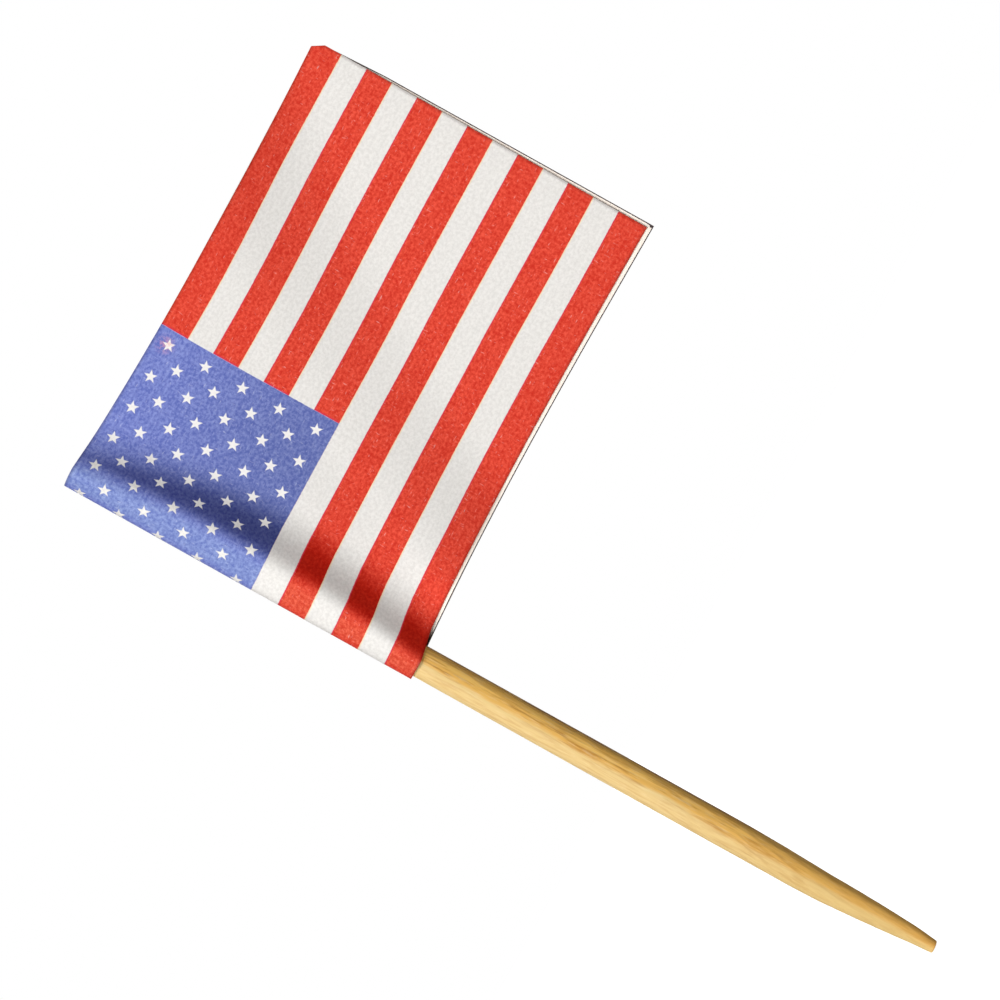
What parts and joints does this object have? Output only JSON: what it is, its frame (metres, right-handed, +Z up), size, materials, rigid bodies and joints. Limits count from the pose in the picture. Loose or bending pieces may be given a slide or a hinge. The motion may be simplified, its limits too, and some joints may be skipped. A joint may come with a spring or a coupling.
{
  "type": "flag pick",
  "caption": "Cocktail stick with a small folded paper flag glued round its upper part, to push upright into food.",
  "frame": {"origin": "centre of the stick's blunt point, which goes into the food", "axes": "+Z up the stick to the flag, +X from the stick to the flag's fly, -Y out of the flag's front leaf"},
  "size_m": [0.034, 0.0033, 0.065],
  "materials": {
    "wood": "bare turned wood, fine long grain",
    "printed_paper": "uncoated paper printed in red, white and blue",
    "dried_glue": "thin dried paper glue, slightly yellow"
  },
  "bodies": {
    "root": {"stick": "wood", "flag_sheet": "printed_paper", "leaf_glue": "dried_glue", "sleeve_glue": "dried_glue"}
  },
  "joints": []
}
